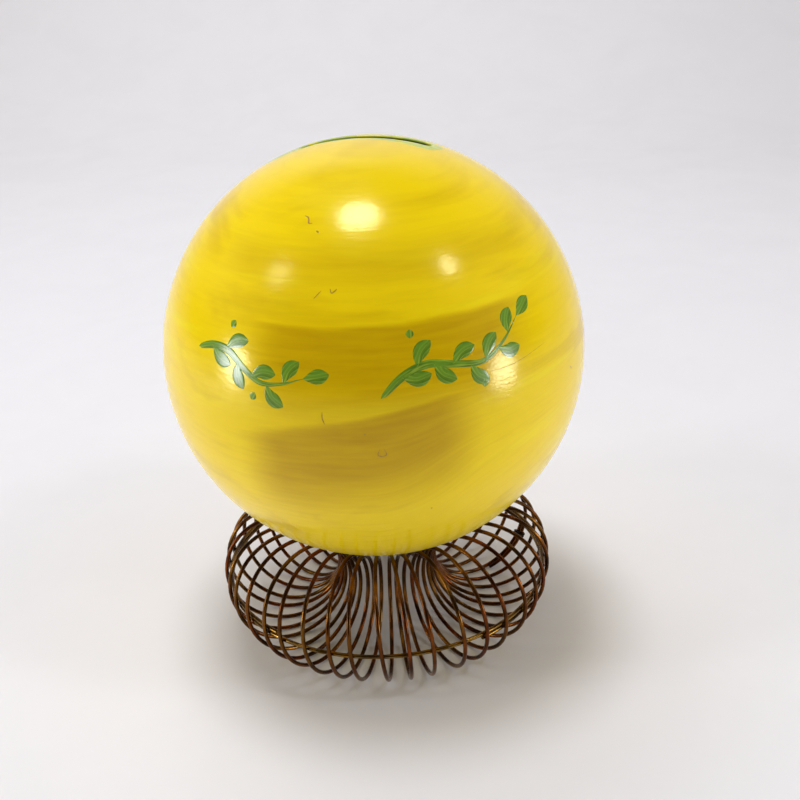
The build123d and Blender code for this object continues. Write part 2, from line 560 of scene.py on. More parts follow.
def tarnished_wire(name, metal, rubbed, patina):
    """Drawn wire, tarnished as it was handled: a dark brown skin, thinner in long soft stretches
    where the metal's own colour shines through, and the die's fine lines along the wire."""
    material, tree = new_material(name)
    drawn = tree.nodes.new("ShaderNodeAttribute")
    drawn.attribute_name = "drawn"
    tones = {}
    for kind, long, stretch in (("stretches", 34, 1), ("skin", 9, 1), ("lines", 0.3, 40)):
        place = add_node(
            tree,
            "ShaderNodeVectorMath",
            {"Vector": drawn.outputs["Vector"], "Vector_001": (1 / stretch, 1, 1)},
            operation="MULTIPLY",
        )
        tones[kind] = add_node(
            tree,
            "ShaderNodeTexNoise",
            {"Vector": place, "Scale": 1 / (long * MM), "Detail": 2, "Roughness": 0.55},
        )
    tone = add_node(
        tree,
        "ShaderNodeMapRange",
        {"Value": tones["stretches"], "From Min": 0.4, "From Max": 0.6},
        interpolation_type="SMOOTHSTEP",
    )
    tone = add_node(
        tree,
        "ShaderNodeMix",
        {"Factor_Float": tone, "A_Color": metal, "B_Color": rubbed},
        data_type="RGBA",
    )
    skin = add_node(
        tree,
        "ShaderNodeMapRange",
        {
            "Value": tones["skin"],
            "From Min": 0.3,
            "From Max": 0.7,
            "To Min": 0.2,
            "To Max": 0.95,
        },
        interpolation_type="SMOOTHSTEP",
    )
    tone = add_node(
        tree,
        "ShaderNodeMix",
        {"Factor_Float": skin, "A_Color": tone, "B_Color": patina},
        data_type="RGBA",
    )
    gloss = add_node(
        tree,
        "ShaderNodeMapRange",
        {"Value": tones["skin"], "To Min": 0.154, "To Max": 0.286},
    )
    relief = add_node(
        tree, "ShaderNodeBump", {"Height": tones["lines"], "Strength": 0.5, "Distance": 0.01 * MM}
    )
    shader = add_node(
        tree,
        "ShaderNodeBsdfPrincipled",
        {"Base Color": tone, "Metallic": 1.0, "Roughness": gloss, "Normal": relief},
    )
    add_node(tree, "ShaderNodeOutputMaterial", {"Surface": shader})
    return material


def tarnished_copper_wire(colours):
    """Copper-coated steel wire: brown, with orange and here and there yellow rubbed stretches."""
    return tarnished_wire(
        "tarnished_copper_wire", colours.copper, colours.worn_copper, colours.patina
    )


def tarnished_brass_wire(colours):
    """Brass wire, tarnished olive brown, with golden rubbed stretches."""
    return tarnished_wire(
        "tarnished_brass_wire", colours.brass, linear("#B48A3C"), colours.patina
    )


def blackened_binding_wire():
    """Annealed binding wire: nearly black scale with a dull sheen."""
    scale, bare = linear("#241A14"), linear("#120E0C")
    return finished("blackened_binding_wire", scale, bare, 1.5, 0.2, 0.5, 0.02, metallic=1.0)


def matt_white_card(colours):
    """Uncoated card: an even pale matt surface with the faintest cloudiness."""
    return finished("matt_white_card", colours.floor, linear("#E8E7EA"), 60, 0.6, 0.8, 0.01)


# ---------------------------------------------------------------------------------------------
# Mesh building


def mesh_from_rings(name, rings, closed, materials=(0,)):
    """Joins rings of equally many points with faces. A closed row of rings comes back to its first
    one, and an open row gets a cap at each end. Each band of faces has a material's number."""
    columns = len(rings[0])
    points = [point for ring in rings for point in ring]
    faces = []
    bands = len(rings) if closed else len(rings) - 1
    for band in range(bands):
        here, there = band * columns, (band + 1) % len(rings) * columns
        for column in range(columns):
            beside = (column + 1) % columns
            faces.append((here + column, here + beside, there + beside, there + column))
    if not closed:
        last = (len(rings) - 1) * columns
        faces.append(tuple(reversed(range(columns))))
        faces.append(tuple(range(last, last + columns)))
    mesh = bpy.data.meshes.new(name)
    mesh.from_pydata(points, [], faces)
    for band in range(bands):
        number = materials[min(band, len(materials) - 1)]
        if number:
            for face in range(band * columns, (band + 1) * columns):
                mesh.polygons[face].material_index = number
    whole = bmesh.new()
    whole.from_mesh(mesh)
    bmesh.ops.recalc_face_normals(whole, faces=whole.faces)
    whole.to_mesh(mesh)
    whole.free()
    mesh.shade_smooth()
    mesh.set_sharp_from_angle(angle=radians(42))
    return mesh


def add_piece(mesh, materials, body, slot, *replaced):
    """Puts a finished mesh in the scene as a piece that rides on a body."""
    for material in materials:
        mesh.materials.append(material)
    piece = bpy.data.objects.new(mesh.name, mesh)
    bpy.context.scene.collection.objects.link(piece)
    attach(piece, body)
    if replaced:
        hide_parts(*replaced)
    return piece


def stadium(half_length, half_width, share):
    """A point of an outline with two straight sides and round ends, by its share of the way."""
    straight = half_length - half_width
    quarter = pi / 2 * half_width
    way = share % 1 * (4 * straight + 4 * quarter)
    if way < quarter:
        turned = way / half_width
        return straight + half_width * cos(turned), half_width * sin(turned)
    way -= quarter
    if way < 2 * straight:
        return straight - way, half_width
    way -= 2 * straight
    if way < 2 * quarter:
        turned = pi / 2 + way / half_width
        return -straight + half_width * cos(turned), half_width * sin(turned)
    way -= 2 * quarter
    if way < 2 * straight:
        return way - straight, -half_width
    turned = 3 * pi / 2 + (way - 2 * straight) / half_width
    return straight + half_width * cos(turned), half_width * sin(turned)


def paint_inset(direction, ball):
    """How far the brushed enamel lies inside the ball's true radius, in a direction."""
    place = direction * BALL_RADIUS
    sanded = noise.noise(place / (13 * MM))
    lapped = noise.noise(Vector((place.x / 5, place.y / 5, place.z)) / (3 * MM))
    return ball.film + ball.paint_depth * (0.5 + 0.3 * sanded + 0.2 * lapped)


def on_paint(direction, ball, lift=0.0):
    """The point of the painted surface in a direction from the ball's middle."""
    return BALL_MIDDLE + direction * (BALL_RADIUS - paint_inset(direction, ball) + lift)


def from_top(x, y):
    """The direction that lies an arc of hypot(x, y) radians from the top, towards (x, y)."""
    arc = hypot(x, y)
    return Vector((sin(arc) * x / arc, sin(arc) * y / arc, cos(arc)))


def arc_from_top(x, y, radius):
    """What from_top takes for the place over (x, y) on a sphere of that radius."""
    aside = hypot(x, y)
    arc = asin(aside / radius)
    return Vector((x / aside * arc, y / aside * arc))


def blend_rings(start, end, count, place):
    """Rings that turn evenly from one outline on a sphere, seen from the top, into another."""
    rings = []
    for ring in range(count + 1):
        share = ring / count
        rings.append([place(from_top(*a.lerp(b, share))) for a, b in zip(start, end)])
    return rings


COLUMNS = 480  # of the ball's mesh, round the ball
OUTER_RINGS = 124
INNER_RINGS = 24
EDGE_STEPS = 5
EDGE_DEPTH = 1.3  # how far down a worn edge starts, in edge rounds below the ball's true surface
PAINTED, BARE = 0, 1  # the materials of a shell
FILM_SUNK = 0.6  # how deep a stroke's underside lies in the enamel, in film thicknesses


def circle(radius, height, columns=COLUMNS):
    """A level ring of points."""
    return [
        Vector((radius * cos(2 * pi * c / columns), radius * sin(2 * pi * c / columns), height))
        for c in range(columns)
    ]


def slot_outline(ball, outward):
    """The coin slot's outline seen from the top, moved outwards. A saw left its sides uneven."""
    outline = []
    for column in range(COLUMNS):
        x, y = stadium(
            ball.slot_length / 2 + outward, ball.slot_width / 2 + outward, column / COLUMNS
        )
        stray = ball.slot_wander * noise.noise(Vector((x, y, 0)) / (2.2 * MM))
        outline.append(Vector((x, y + ball.slot_set_back + stray)))
    return outline


def ease_seam(mesh, ball):
    """Gives the painted faces along the equator one normal on both shells, so the seam that the
    paint covers doesn't show."""
    reach = 0.004  # to each side of a point, in radians
    level = 1e-7

    def slope(out, way):
        """How the painted surface runs past a direction."""
        ahead, behind = (out + way * reach).normalized(), (out - way * reach).normalized()
        return on_paint(ahead, ball) - on_paint(behind, ball)

    upright = Vector((0, 0, 1))
    normals = [(0.0, 0.0, 0.0)] * len(mesh.loops)
    for face in mesh.polygons:
        if face.material_index == BARE:
            continue
        for loop in face.loop_indices:
            place = mesh.vertices[mesh.loops[loop].vertex_index].co - BALL_MIDDLE
            if abs(place.z) < level:
                out = place.normalized()
                along, up = slope(out, upright.cross(out)), slope(out, upright)
                normals[loop] = along.cross(up).normalized()
    mesh.normals_split_custom_set(normals)


def upper_shell_mesh(ball):
    """The upper half shell: the slot's wall, its worn edge, the outside, the stepped rim and the
    inside, as one closed row of rings round the slot."""
    inner_radius = BALL_RADIUS - ball.wall
    wall = slot_outline(ball, 0)
    rings, materials = [], []
    for step in range(EDGE_STEPS):
        share = step / EDGE_STEPS
        ring = []
        for x, y in wall:
            low = inner_radius * cos(asin(hypot(x, y) / inner_radius))
            high = BALL_RADIUS * cos(asin(hypot(x, y) / BALL_RADIUS))
            high -= ball.edge_round * EDGE_DEPTH
            ring.append(BALL_MIDDLE + Vector((x, y, low + (high - low) * share)))
        rings.append(ring)
        materials.append(BARE)
    for step in range(EDGE_STEPS):
        turned = pi / 2 * step / EDGE_STEPS
        ring = []
        for x, y in slot_outline(ball, ball.edge_round * (1 - cos(turned))):
            top = on_paint(from_top(*arc_from_top(x, y, BALL_RADIUS)), ball)
            ring.append(top - Vector((0, 0, ball.edge_round * (1 - sin(turned)))))
        rings.append(ring)
        materials.append(PAINTED)
    edge = [arc_from_top(x, y, BALL_RADIUS) for x, y in slot_outline(ball, ball.edge_round)]
    equator = [Vector((x, y)) for x, y, _ in circle(pi / 2, 0)]
    rings += blend_rings(edge, equator, OUTER_RINGS, lambda d: on_paint(d, ball))
    materials += [PAINTED] * OUTER_RINGS
    lap_radius = (BALL_RADIUS + inner_radius) / 2 + ball.lap_gap
    lap_top = ball.lap_height + ball.lap_gap
    rings.append(circle(lap_radius, BALL_MIDDLE.z))
    rings.append(circle(lap_radius, BALL_MIDDLE.z + lap_top))
    rim = [place.normalized() * acos(lap_top / inner_radius) for place in equator]
    inner_edge = [arc_from_top(x, y, inner_radius) for x, y in wall]
    inside = blend_rings(rim, inner_edge, INNER_RINGS, lambda d: BALL_MIDDLE + d * inner_radius)
    rings += inside[:-1]
    materials.append(BARE)
    mesh = mesh_from_rings("painted_upper_shell", rings, True, materials)
    ease_seam(mesh, ball)
    return mesh


def lower_shell_mesh(ball):
    """The lower half shell: the hole's wall and edge, the outside, the tongue and the inside, as
    one closed row of rings."""
    inner_radius = BALL_RADIUS - ball.wall
    hole = ball.hole_diameter / 2
    rings, materials = [], []
    low = -sqrt(BALL_RADIUS**2 - hole**2) + ball.edge_round * EDGE_DEPTH
    high = -sqrt(inner_radius**2 - hole**2)
    for step in range(EDGE_STEPS):
        share = step / EDGE_STEPS
        rings.append(circle(hole, BALL_MIDDLE.z + high + (low - high) * share))
        materials.append(BARE)
    for step in range(EDGE_STEPS):
        turned = pi / 2 * step / EDGE_STEPS
        ring = []
        for x, y, _ in circle(hole + ball.edge_round * (1 - cos(turned)), 0):
            direction = from_top(*arc_from_top(x, y, BALL_RADIUS))
            direction.z *= -1
            bottom = on_paint(direction, ball)
            ring.append(bottom + Vector((0, 0, ball.edge_round * (1 - sin(turned)))))
        rings.append(ring)
        materials.append(PAINTED)

    def below(direction):
        return on_paint(Vector((direction.x, direction.y, -direction.z)), ball)

    def inside(direction):
        return BALL_MIDDLE + direction * inner_radius

    edge = [arc_from_top(x, y, BALL_RADIUS) for x, y, _ in circle(hole + ball.edge_round, 0)]
    equator = [Vector((x, y)) for x, y, _ in circle(pi / 2, 0)]
    rings += blend_rings(edge, equator, OUTER_RINGS, below)
    materials += [PAINTED] * OUTER_RINGS
    tongue_radius = (BALL_RADIUS + inner_radius) / 2
    rings.append(circle(tongue_radius, BALL_MIDDLE.z))
    rings.append(circle(tongue_radius, BALL_MIDDLE.z + ball.lap_height))
    rim = [place.normalized() * acos(ball.lap_height / inner_radius) for place in equator]
    inner_edge = [place.normalized() * (pi - asin(hole / inner_radius)) for place in equator]
    rings += blend_rings(rim, inner_edge, 2 * INNER_RINGS, inside)[:-1]
    materials.append(BARE)
    mesh = mesh_from_rings("painted_lower_shell", rings, True, materials)
    ease_seam(mesh, ball)
    return mesh


# ---------------------------------------------------------------------------------------------
# Paint strokes on the ball


def set_marks(mesh, name, marks):
    """Notes a place along and across its stroke or wire for each of a mesh's points."""
    attribute = mesh.attributes.new(name, "FLOAT_VECTOR", "POINT")
    attribute.data.foreach_set("vector", [value for mark in marks for value in mark])


def facing(round_front, upward):
    """A direction from the ball's middle, by its degrees round from the front and up."""
    turned, raised = radians(round_front), radians(upward)
    return Vector((sin(turned) * cos(raised), -cos(turned) * cos(raised), sin(raised)))


def smooth_path(points, steps):
    """A smooth curve through a few points, as many closer ones."""
    ends = [points[0] * 2 - points[1], *points, points[-1] * 2 - points[-2]]
    path = []
    for before, start, end, after in zip(ends, ends[1:], ends[2:], ends[3:]):
        for step in range(steps):
            t = step / steps
            path.append(
                0.5
                * (
                    2 * start
                    + (end - before) * t
                    + (2 * before - 5 * start + 4 * end - after) * t * t
                    + (3 * start - before - 3 * end + after) * t * t * t
                )
            )
    return [*path, points[-1]]


def stroke_mesh(name, ball, path, width, film, across_steps=8):
    """A closed film of paint on the ball along a path of directions. Its width follows a function
    of the share of the way, and its edges stand up a little, as the brush leaves them."""
    edge_steepness = 5  # the film runs out over the last fifth of its half width
    rings, marks = [], []
    travelled = 0.0
    for place, direction in enumerate(path):
        before, after = path[max(place - 1, 0)], path[min(place + 1, len(path) - 1)]
        if place:
            travelled += (direction - path[place - 1]).length * BALL_RADIUS
        side = direction.cross((after - before).normalized())
        half = width(place / (len(path) - 1)) / 2
        top, bottom, row = [], [], []
        for step in range(across_steps + 1):
            share = 2 * step / across_steps - 1
            spot = (direction * BALL_RADIUS + side * half * share).normalized()
            ridge = 0.6 + 0.4 * share**2
            edge = min(1, edge_steepness * (1 - abs(share)))
            top.append(on_paint(spot, ball, film * ridge * edge))
            bottom.append(on_paint(spot, ball, -FILM_SUNK * film))
            row.append((travelled, half * share, 0))
        rings.append(top + bottom[-2:0:-1])
        marks += row + row[-2:0:-1]
    mesh = mesh_from_rings(name, rings, False)
    set_marks(mesh, "stroke", marks)
    return mesh


def join_meshes(name, meshes):
    """One mesh that holds several."""
    whole = bmesh.new()
    for mesh in meshes:
        whole.from_mesh(mesh)
        bpy.data.meshes.remove(mesh)
    joined = bpy.data.meshes.new(name)
    whole.to_mesh(joined)
    whole.free()
    joined.shade_smooth()
    return joined


def sprig_mesh(name, ball, middle, tilt, span, leaves, seed):
    """A painted leaf sprig: a bowed stem, leaves to each side in turn, a leaf at its tip and two
    berries. A middle is degrees round from the front and up, and lengths are in metres."""
    across_front, upward = middle
    bow_height, bow_waves, bow_start = 0.07, 1.2, -0.5  # of the stem, the first in spans
    first_leaf = 0.16  # where it stands, as a share of the stem
    thinnest = 0.12 * MM
    # Widths and lengths in widths of the brush
    stem_width, leaf_width, leaf_length, berry_width = 0.85, 1.5, 3.6, 0.8
    leaf_bow, leaf_turn, wobble_turn = radians(52), radians(24), 0.25

    def spot(x, y):
        turned_x = x * cos(tilt) - y * sin(tilt)
        turned_y = x * sin(tilt) + y * cos(tilt)
        up = upward + degrees(turned_y / BALL_RADIUS)
        return facing(across_front + degrees(turned_x / BALL_RADIUS / cos(radians(up))), up)

    def stem(share):
        bow = sin(2 * pi * bow_waves * share + bow_start)
        return span * (share - 0.5), bow_height * span * bow

    def brush(points, steps, widest, fullest):
        """A stroke through a few points. Below 1, fullest swells it early, and above 1 late."""

        def width(share):
            swell = sin(pi * share**fullest) ** 0.75 if 0 < share < 1 else 0
            return max(widest * ball.stroke_width * swell, thinnest)

        return stroke_mesh(name, ball, smooth_path(points, steps), width, ball.film)

    meshes = [brush([spot(*stem(share / 6)) for share in range(7)], 7, stem_width, 0.5)]
    for leaf in range(leaves + 1):
        share = first_leaf + (1 - first_leaf) * leaf / leaves
        x, y = stem(share)
        ahead_x, ahead_y = stem(share + 0.01)
        heading = atan2(ahead_y - y, ahead_x - x)
        wobble = noise.noise(Vector((leaf * 1.7, seed, 0.5)))
        side = 0 if leaf == leaves else 1 if leaf % 2 else -1
        reach = (0.9 + 0.12 * wobble) * leaf_length * ball.stroke_width * (1 - 0.2 * share)
        bow = heading + side * (leaf_bow + wobble_turn * wobble)
        tip = heading + side * (leaf_turn + wobble_turn * wobble)
        points = [
            spot(x, y),
            spot(x + 0.5 * reach * cos(bow), y + 0.5 * reach * sin(bow)),
            spot(
                x + 0.5 * reach * (cos(bow) + cos(tip)),
                y + 0.5 * reach * (sin(bow) + sin(tip)),
            ),
        ]
        meshes.append(brush(points, 9, leaf_width, 1.3))
    for share, off in ((0.3, 0.17), (0.62, -0.16)):
        x, y = stem(share)
        y += off * span
        points = [spot(x, y), spot(x + 0.7 * MM, y + 2 * MM)]
        meshes.append(brush(points, 8, berry_width, 1))
    return join_meshes(name, meshes)


def wear_mesh(ball):
    """The specks, pits and scratches that go through the enamel to its ground, and a hair crack.
    Each is a width in millimetres and a few places, in degrees round from the front and up."""
    thin = 0.3 * ball.film
    meshes = []
    for width, places in (
        (0.5, ((-3.5, 36.5), (-3, 35.5), (-2, 36), (-1.5, 36.5))),
        (0.4, ((-8, 34), (-7, 35), (-6, 36))),
        (0.6, ((-18, 55), (-16, 54.5), (-15, 53), (-13.5, 53))),
        (0.7, ((-11, 51), (-10, 50.5))),
        (0.4, ((-30, 21.5), (-29.5, 23))),
        (0.5, ((-5, 8), (-5, 6.5), (-4.5, 5))),
        (0.5, ((8, -1.5), (7.5, -3), (8.5, -3.5), (9.5, -3), (9, -1.5))),
        (0.6, ((4.5, 2.5), (5, 2.5))),
        (0.6, ((20.5, -22), (21, -22))),
        (0.8, ((67.5, 4), (68, 3))),
        (0.22, ((36.5, 13), (44, 13), (56, 14.5))),
    ):
        path = smooth_path([facing(*place) for place in places], 6)

        def tapered(share, widest=0.7 * width * MM):
            return widest * (0.35 + 0.65 * sin(pi * share))

        meshes.append(stroke_mesh("wear", ball, path, tapered, thin, across_steps=4))
    return join_meshes("wear", meshes)


def slot_band_mesh(ball):
    """The green band brushed round the coin slot, down over the slot's worn edge, as one closed
    film with the slot left open. In front of the slot it widens to the right."""
    left_end, right_end, half_width = -28.5 * MM, 20.8 * MM, 4.2 * MM
    middle, half_length = (left_end + right_end) / 2, (right_end - left_end) / 2
    front_width, front_growth, growth_run, back_width = 0.82, 0.75, 16 * MM, 1.1
    ragged_share, ragged_height, ragged_reach = 0.15, 1.1 * MM, 0.8 * MM  # of the band's ends
    sway_length, sway_reach = 7 * MM, 0.5 * MM  # of its sides
    outer = []
    for column in range(COLUMNS):
        x, y = stadium(half_length, half_width, column / COLUMNS)
        end, side = (1 if x > 0 else -1), (1.0 if y > 0 else 2.0)
        near_end = max(0, abs(x) / half_length - 1 + ragged_share) / ragged_share
        rightward = min(1, max(0, (x + middle) / growth_run))
        ragged = noise.noise(Vector((0.5, y / ragged_height, 3.1 if x > 0 else 7.7)))
        sway = noise.noise(Vector((x / sway_length, side, 1.3)))
        x += middle + near_end * ragged * ragged_reach * end
        y *= front_width + front_growth * rightward if y < 0 else back_width
        outer.append(Vector((x, y + ball.slot_set_back + sway_reach * sway)))

    def over_edge(step, film):
        """The ring of film at one of the steps up the slot's rounded edge."""
        turned = pi / 2 * step / EDGE_STEPS
        outward = ball.edge_round * (1 - cos(turned)) - film * cos(turned)
        down = ball.edge_round * (1 - sin(turned)) - film * sin(turned)
        ring = []
        for x, y in slot_outline(ball, outward):
            top = on_paint(from_top(*arc_from_top(x, y, BALL_RADIUS)), ball)
            ring.append(top - Vector((0, 0, down)))
        return ring

    inner = slot_outline(ball, ball.edge_round)
    thick, sunk = 0.7 * ball.film, -FILM_SUNK * ball.film
    steps, edge_steepness = 9, 4
    top, bottom, rows = [], [], []
    for step in range(EDGE_STEPS):
        top.append(over_edge(step, thick * min(1, step / 2)))
        bottom.append(over_edge(step, sunk))
        rows.append([(x, y, 0) for x, y in inner])
    for step in range(steps + 1):
        share = step / steps
        edge = min(1, edge_steepness * (1 - share))
        spots = [a.lerp(b, share) for a, b in zip(inner, outer)]
        directions = [from_top(*arc_from_top(x, y, BALL_RADIUS)) for x, y in spots]
        top.append([on_paint(direction, ball, thick * edge) for direction in directions])
        bottom.append([on_paint(direction, ball, sunk) for direction in directions])
        rows.append([(x, y, 0) for x, y in spots])
    mesh = mesh_from_rings("slot_band", top + bottom[::-1], True)
    set_marks(mesh, "stroke", [mark for row in rows + rows[::-1] for mark in row])
    return mesh


# ---------------------------------------------------------------------------------------------
# Wires


def tube_mesh(name, path, radius, sides=14):
    """A round wire along a path of close points, its two ends cut and slightly rounded off."""
    end_length, end_width = 0.25, 0.72  # of the worn ends, in radii
    rings, marks = [], []
    aside = None
    travelled = 0.0
    for place, point in enumerate(path):
        before, after = path[max(place - 1, 0)], path[min(place + 1, len(path) - 1)]
        along = (after - before).normalized()
        if place:
            travelled += (point - before).length
        aside = along.orthogonal() if aside is None else aside - along * aside.dot(along)
        aside.normalize()
        upright = along.cross(aside)
        turns = [2 * pi * side / sides for side in range(sides)]
        ring = [point + radius * (cos(turn) * aside + sin(turn) * upright) for turn in turns]
        mark = [(travelled, radius * cos(turn), radius * sin(turn)) for turn in turns]
        rings.append(ring)
        marks += mark
        if place in (0, len(path) - 1):
            outward = along * radius * (-end_length if place == 0 else end_length)
            worn = [point + outward + end_width * (spot - point) for spot in ring]
            rings.insert(0 if place == 0 else len(rings), worn)
            marks += mark
    mesh = mesh_from_rings(name, rings, False)
    set_marks(mesh, "drawn", marks)
    return mesh


def on_coil(stand, ring_angle, section_angle, section_radius):
    """A point by its angle round the ring, and its angle and distance from the coil's middle."""
    reach = stand.ring_diameter / 2 + section_radius * cos(section_angle)
    return Vector(
        (
            reach * cos(ring_angle),
            reach * sin(ring_angle),
            COIL_RADIUS + section_radius * sin(section_angle),
        )
    )


CORNER_ANGLE = radians(30)  # the wire's two ends are cut on the middles of runs this long
WANDER_WAVES = (3, 14)  # slow and quick strays of the coil's turns, in waves round the ring


def strand(stand, turn):
    """The coil wire's place after so many turns from its start."""
    section_radius = COIL_RADIUS - stand.wire_diameter / 2
    reach = stand.ring_diameter / 2 + section_radius * cos(2.5 * CORNER_ANGLE)
    beside = (stand.wire_diameter + stand.strand_gap) / reach
    share = turn / stand.turns
    stray = sum(sin(wave * 2 * pi * share + stand.wander_phase) for wave in WANDER_WAVES)
    ring_angle = stand.start_angle + (2 * pi - beside) * share + stand.spacing_wander * stray
    return on_coil(stand, ring_angle, -CORNER_ANGLE / 2 - 2 * pi * turn, section_radius)


def coil_path(stand):
    """The coil's wire, bent by hand: each turn strays a little from a true ring."""
    steps = 54  # to a turn
    overlap = 2 * CORNER_ANGLE / (2 * pi)
    path = []
    for step in range(round((stand.turns + overlap) * steps) + 1):
        turn = step / steps
        point = strand(stand, turn)
        round_ring = Vector((-point.y, point.x, 0)).normalized()
        quiet = min(1, step / steps, abs(stand.turns - turn) + 0.1)
        stray = noise.noise(Vector((turn * 2.1, 0.4, 5.2))) * stand.dents * quiet
        path.append(point + round_ring * stray)
    return path


def hoop_path(stand):
    """The hoop's wire: almost two turns inside the coil, one strand above the other."""
    section_radius = COIL_RADIUS - stand.wire_diameter - stand.hoop_diameter / 2 - stand.hoop_gap
    rise = (stand.hoop_diameter + stand.hoop_strand_gap) / section_radius / (2 * pi)
    steps = 260
    path = []
    for step in range(steps + 1):
        turned = stand.hoop_sweep * step / steps
        height = stand.hoop_section + rise * turned
        path.append(on_coil(stand, stand.hoop_start + turned, height, section_radius))
    return path


def tie_path(stand):
    """The tie's wire: wraps round the coil's two ends, side by side up the strands."""
    section_radius = COIL_RADIUS - stand.wire_diameter / 2
    pitch = stand.tie_diameter + stand.tie_wrap_gap
    height = stand.tie_wraps * pitch + stand.tie_diameter
    turn = (stand.tie_drop + height / 2) / (2 * pi * section_radius)
    start_strand, end_strand = strand(stand, turn), strand(stand, stand.turns + turn)
    apart = start_strand - end_strand
    sideways = apart.normalized()
    along = (strand(stand, turn + 0.01) - strand(stand, turn - 0.01)).normalized()
    outward = along.cross(sideways)
    half_width = (stand.wire_diameter + stand.tie_diameter) / 2 + stand.tie_gap
    middle = (start_strand + end_strand) / 2
    steps, start = 40, 0.125  # to a wrap, and where on its outline the first one starts
    path = []
    for step in range(stand.tie_wraps * steps + 1):
        wraps = step / steps
        x, y = stadium(apart.length / 2 + half_width, half_width, wraps + start)
        level = (wraps - stand.tie_wraps / 2) * pitch
        path.append(middle + sideways * x + outward * y + along * level)
    return path


# ---------------------------------------------------------------------------------------------
# Operators


def curved_card_mesh():
    """The sheet of card that the bank stands on, which curves up a good way behind it."""
    half_width, thick, bend, bend_start, front, wall = 2.5, 1 * MM, 0.4, 0.6, -2.5, 1.6
    stations = [(front, 0.0, 0.0)]
    steps = 36
    for step in range(steps + 1):
        turned = pi / 2 * step / steps
        stations.append((bend_start + bend * sin(turned), bend * (1 - cos(turned)), turned))
    stations.append((bend_start + bend, wall, pi / 2))
    rings = []
    for y, z, turned in stations:
        below = Vector((0, sin(turned), -cos(turned))) * thick
        left, right = Vector((-half_width, y, z)), Vector((half_width, y, z))
        rings.append([left + below, right + below, right, left])
    return mesh_from_rings("card", rings, False)


